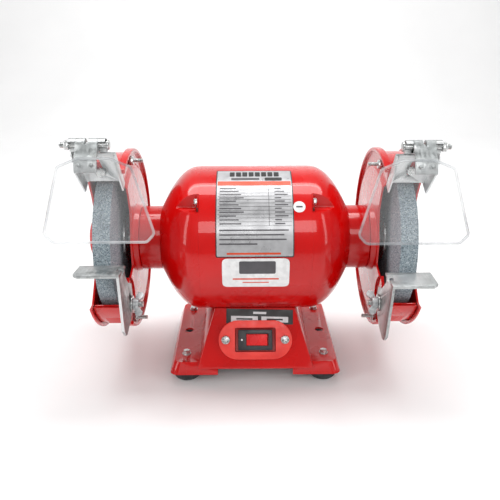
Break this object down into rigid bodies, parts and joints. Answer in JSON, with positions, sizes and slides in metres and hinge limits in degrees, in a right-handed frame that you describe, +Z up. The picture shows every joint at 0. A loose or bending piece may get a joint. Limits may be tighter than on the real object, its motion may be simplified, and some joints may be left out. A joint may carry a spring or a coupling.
{
  "type": "bench grinder",
  "caption": "Double-ended bench grinder with guarded wheels, eye shields, spark deflectors, tool rests and a rocker switch on a rubber-footed base.",
  "frame": {"origin": "on the bench, under the middle of the machine's outline", "axes": "+X along the shaft to the machine's right as its user faces it, +Y to the back, +Z up"},
  "size_m": [0.3709, 0.194, 0.2424],
  "materials": {
    "motor_paint": "gloss",
    "guard_paint": "gloss",
    "base_paint": "gloss",
    "zinc_sheet": "zinc plated sheet",
    "zinc_fastener": "bright zinc plated",
    "cast_wing_nut": "zinc plated casting",
    "turned_steel": "machined",
    "core_steel": "stacked laminations",
    "copper_wire": "enamelled copper",
    "abrasive": "vitrified grit",
    "foot_rubber": "matt",
    "switch_coral": "satin",
    "switch_black": "satin",
    "rocker_red": "semi-gloss",
    "gland_black": "satin",
    "inner_cream": "satin",
    "shield_clear": "clear moulded plastic"
  },
  "bodies": {
    "frame": {"motor_barrel": "motor_paint", "end_bell_right": "motor_paint", "end_bell_left": "motor_paint", "stator_core": "core_steel", "winding_right": "copper_wire", "winding_left": "copper_wire", "bearing_right": "turned_steel", "bearing_left": "turned_steel", "guard_plate_right": "guard_paint", "guard_plate_left": "guard_paint", "guard_cover_right": "guard_paint", "guard_cover_left": "guard_paint", "cover_bolt_right_1": "zinc_fastener", "cover_bolt_right_2": "zinc_fastener", "cover_bolt_right_3": "zinc_fastener", "cover_bolt_left_1": "zinc_fastener", "cover_bolt_left_2": "zinc_fastener", "cover_bolt_left_3": "zinc_fastener", "deflector_bolt_right": "zinc_fastener", "deflector_bolt_left": "zinc_fastener", "rest_bolt_right": "zinc_fastener", "rest_bolt_left": "zinc_fastener", "base_housing": "base_paint", "bottom_plate": "zinc_sheet", "rubber_foot_front_left": "foot_rubber", "rubber_foot_front_right": "foot_rubber", "rubber_foot_rear_left": "foot_rubber", "rubber_foot_rear_right": "foot_rubber", "switch_plate": "switch_coral", "switch_body": "switch_black", "cable_gland": "gland_black", "capacitor": "inner_cream", "terminal_block": "inner_cream"},
    "rotor": {"shaft": "turned_steel", "rotor_core": "core_steel", "inner_flange_right": "turned_steel", "inner_flange_left": "turned_steel", "grinding_wheel_right": "abrasive", "grinding_wheel_left": "abrasive", "outer_flange_right": "turned_steel", "outer_flange_left": "turned_steel", "wheel_nut_right": "turned_steel", "wheel_nut_left": "turned_steel"},
    "deflector_left": {"spark_deflector_left": "zinc_sheet", "shield_hinge_bolt_left": "zinc_fastener"},
    "deflector_right": {"spark_deflector_right": "zinc_sheet", "shield_hinge_bolt_right": "zinc_fastener"},
    "shield_left": {"shield_bracket_left": "zinc_sheet", "eye_shield_left": "shield_clear"},
    "shield_right": {"shield_bracket_right": "zinc_sheet", "eye_shield_right": "shield_clear"},
    "clamp_left": {"rest_washer_left": "zinc_fastener"},
    "clamp_right": {"rest_washer_right": "zinc_fastener"},
    "rest_left": {"tool_rest_left": "zinc_sheet"},
    "rest_right": {"tool_rest_right": "zinc_sheet"},
    "wing_left": {"wing_nut_left": "cast_wing_nut"},
    "wing_right": {"wing_nut_right": "cast_wing_nut"},
    "rocker": {"switch_rocker": "rocker_red"}
  },
  "joints": [
    {"name": "rotor_spin", "type": "hinge", "parent": "frame", "child": "rotor", "pos_m": [0, 0.0082, 0.132], "axis": [1, 0, 0], "continuous": true},
    {"name": "deflector_slide_left", "type": "slide", "parent": "frame", "child": "deflector_left", "axis": [-0.3139, -0.1221, 0.9416], "range_m": [-0.0045, 0]},
    {"name": "deflector_slide_right", "type": "slide", "parent": "frame", "child": "deflector_right", "axis": [0.3139, -0.1221, 0.9416], "range_m": [-0.0013, 0.003]},
    {"name": "shield_tilt_left", "type": "hinge", "parent": "deflector_left", "child": "shield_left", "pos_m": [-0.1455, -0.0368, 0.2364], "axis": [1, 0, 0], "range_deg": [-70, 6]},
    {"name": "shield_tilt_right", "type": "hinge", "parent": "deflector_right", "child": "shield_right", "pos_m": [0.147, -0.03641, 0.23342], "axis": [1, 0, 0], "range_deg": [-70, 6]},
    {"name": "rest_tilt_left", "type": "hinge", "parent": "frame", "child": "clamp_left", "pos_m": [-0.1153, -0.0558, 0.09], "axis": [1, 0, 0], "range_deg": [-0.5, 24]},
    {"name": "rest_tilt_right", "type": "hinge", "parent": "frame", "child": "clamp_right", "pos_m": [0.1153, -0.0558, 0.09], "axis": [1, 0, 0], "range_deg": [-1, 20]},
    {"name": "rest_slide_left", "type": "slide", "parent": "clamp_left", "child": "rest_left", "axis": [0, -0.3746, 0.9272], "range_m": [-0.001, 0.0025]},
    {"name": "rest_slide_right", "type": "slide", "parent": "clamp_right", "child": "rest_right", "axis": [0, -0.4695, 0.8829], "range_m": [-0.0025, 0.0095]},
    {"name": "wing_turn_left", "type": "hinge", "parent": "frame", "child": "wing_left", "pos_m": [-0.11, -0.0558, 0.09], "axis": [1, 0, 0], "continuous": true},
    {"name": "wing_turn_right", "type": "hinge", "parent": "frame", "child": "wing_right", "pos_m": [0.11, -0.0558, 0.09], "axis": [1, 0, 0], "continuous": true},
    {"name": "rocker_tip", "type": "hinge", "parent": "frame", "child": "rocker", "pos_m": [0.002, -0.04719, 0.04505], "axis": [0, 0.5005, 0.8657], "range_deg": [0, 20]}
  ]
}
